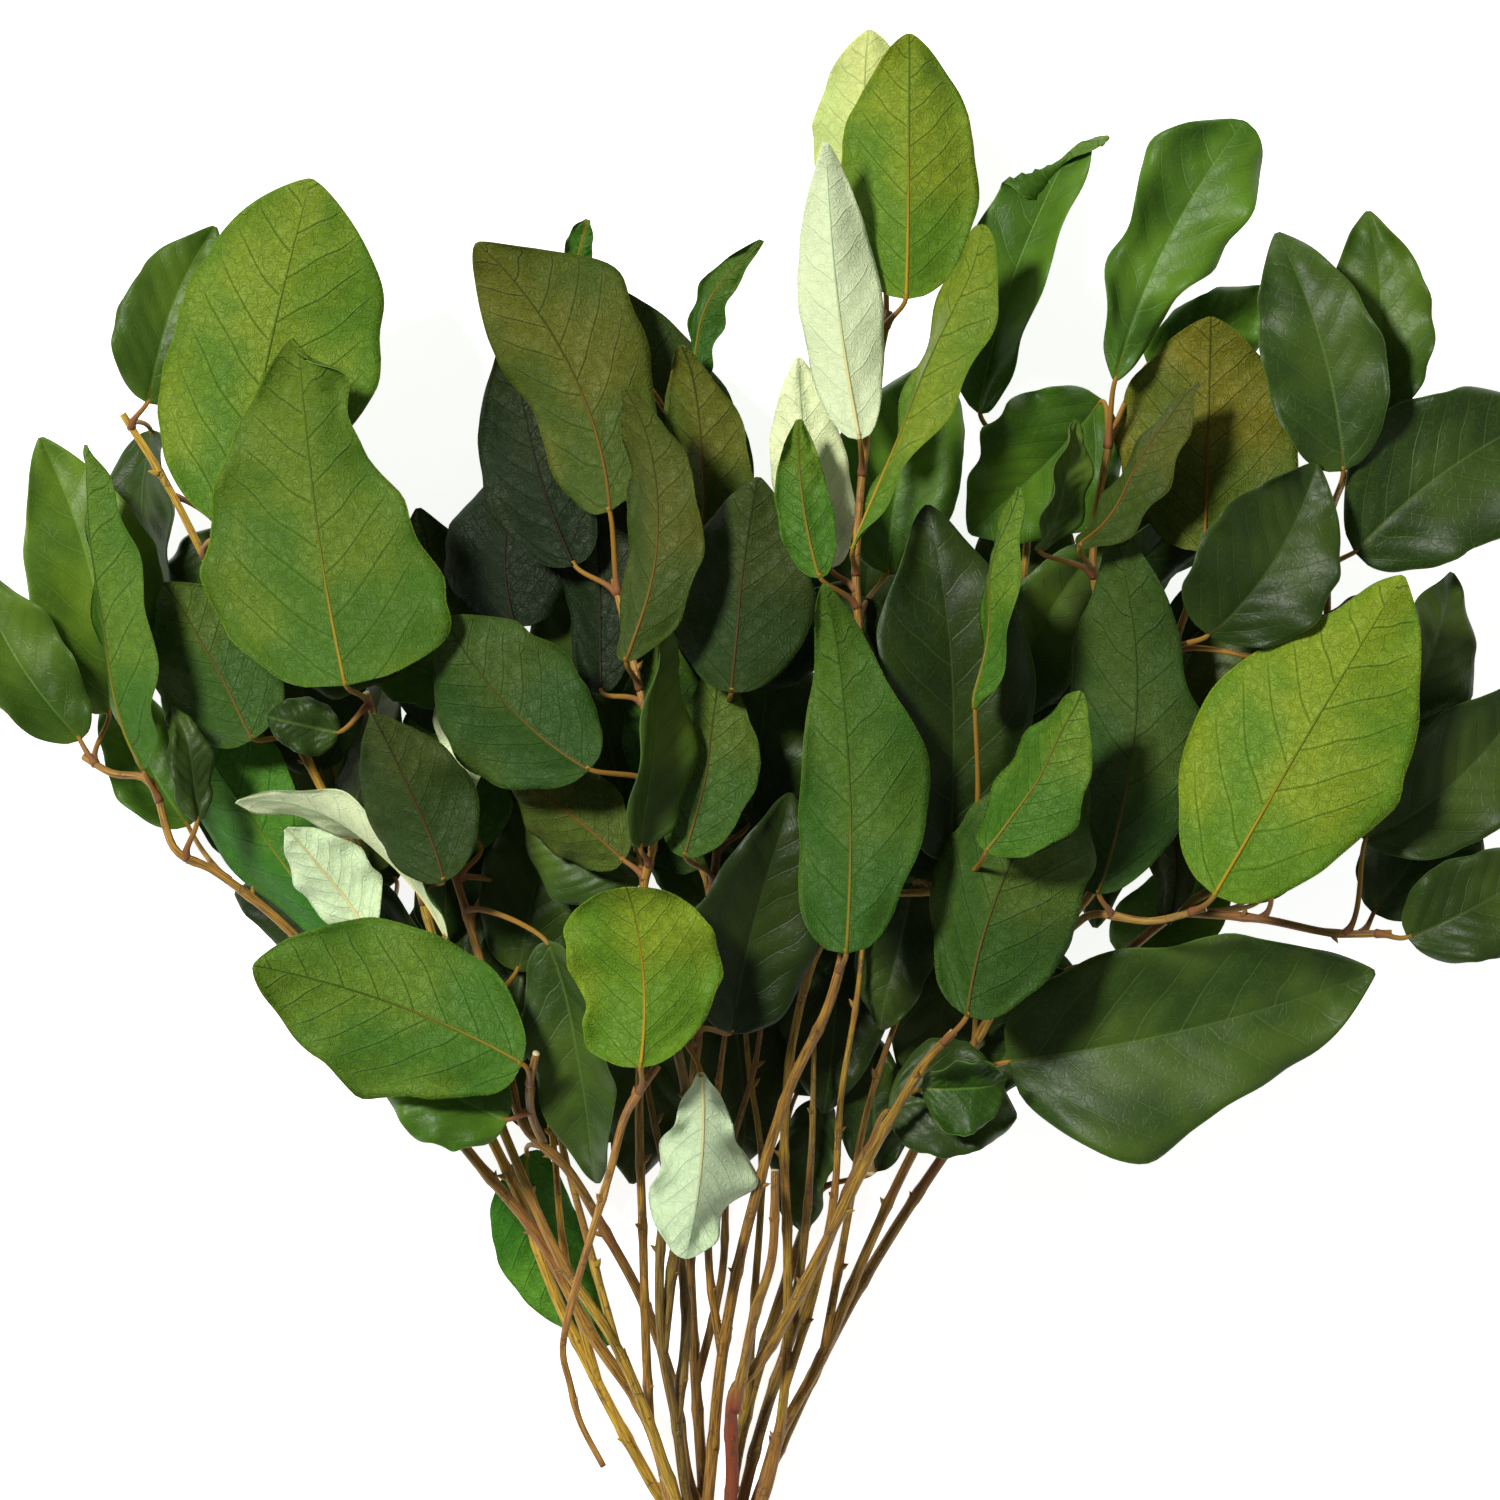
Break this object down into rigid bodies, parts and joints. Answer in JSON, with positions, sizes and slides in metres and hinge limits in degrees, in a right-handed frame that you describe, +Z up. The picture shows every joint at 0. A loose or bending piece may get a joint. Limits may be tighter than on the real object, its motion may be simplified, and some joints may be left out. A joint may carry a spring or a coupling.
{
  "type": "salal stem bunch",
  "caption": "Florist's bunch of leafy salal stems, gathered by a rubber band and lying on a flat surface.",
  "frame": {"origin": "centre of the bunch's box, on the surface it lies on", "axes": "+Z up from the surface, +Y from the cut stem ends to the leaf tips, +X to the right when seen from above with the leaf tips at the top"},
  "size_m": [0.4748, 0.5862, 0.1164],
  "materials": {
    "leaf_underside": "matt yellow-green underside of a leathery leaf",
    "leaf_upper": "satin dark green upper face of a leathery leaf",
    "bark": "smooth olive to reddish brown young bark",
    "rubber": "natural tan rubber"
  },
  "bodies": {
    "root": {"rubber_band": "rubber", "stem_1": "bark", "left_leaf_1": "leaf_upper", "left_leaf_2": "leaf_upper", "left_leaf_3": "leaf_underside", "left_leaf_4": "leaf_underside", "middle_leaf_1": "leaf_upper", "middle_leaf_2": "leaf_underside", "middle_leaf_3": "leaf_underside", "middle_leaf_4": "leaf_underside", "stem_2": "bark", "left_leaf_5": "leaf_upper", "left_leaf_6": "leaf_underside", "left_leaf_7": "leaf_underside", "rest_leaf_1": "leaf_upper", "stem_3": "bark", "left_leaf_8": "leaf_underside", "left_leaf_9": "leaf_underside", "stem_4": "bark", "low_leaf_1": "leaf_underside", "low_leaf_2": "leaf_underside", "low_leaf_3": "leaf_upper", "middle_leaf_5": "leaf_underside", "stem_5": "bark", "low_leaf_4": "leaf_underside", "stem_6": "bark", "low_leaf_5": "leaf_underside", "stem_7": "bark", "middle_leaf_6": "leaf_underside", "middle_leaf_7": "leaf_upper", "rest_leaf_2": "leaf_upper", "stem_8": "bark", "middle_leaf_8": "leaf_underside", "top_leaf_1": "leaf_underside", "top_leaf_2": "leaf_underside", "top_leaf_3": "leaf_underside", "top_leaf_4": "leaf_underside", "top_leaf_6": "leaf_upper", "stem_9": "bark", "right_leaf_1": "leaf_underside", "stem_10": "bark", "right_leaf_2": "leaf_upper", "stem_11": "bark", "right_leaf_3": "leaf_underside", "right_leaf_4": "leaf_underside", "right_leaf_5": "leaf_upper", "right_leaf_6": "leaf_underside", "top_leaf_5": "leaf_upper", "stem_12": "bark", "low_leaf_6": "leaf_upper", "low_leaf_7": "leaf_upper", "stem_13": "bark", "top_leaf_7": "leaf_upper", "rest_leaf_3": "leaf_upper", "stem_14": "bark", "right_leaf_7": "leaf_upper", "right_leaf_8": "leaf_upper", "right_leaf_9": "leaf_upper", "right_leaf_10": "leaf_upper", "right_leaf_11": "leaf_upper"}
  },
  "joints": []
}
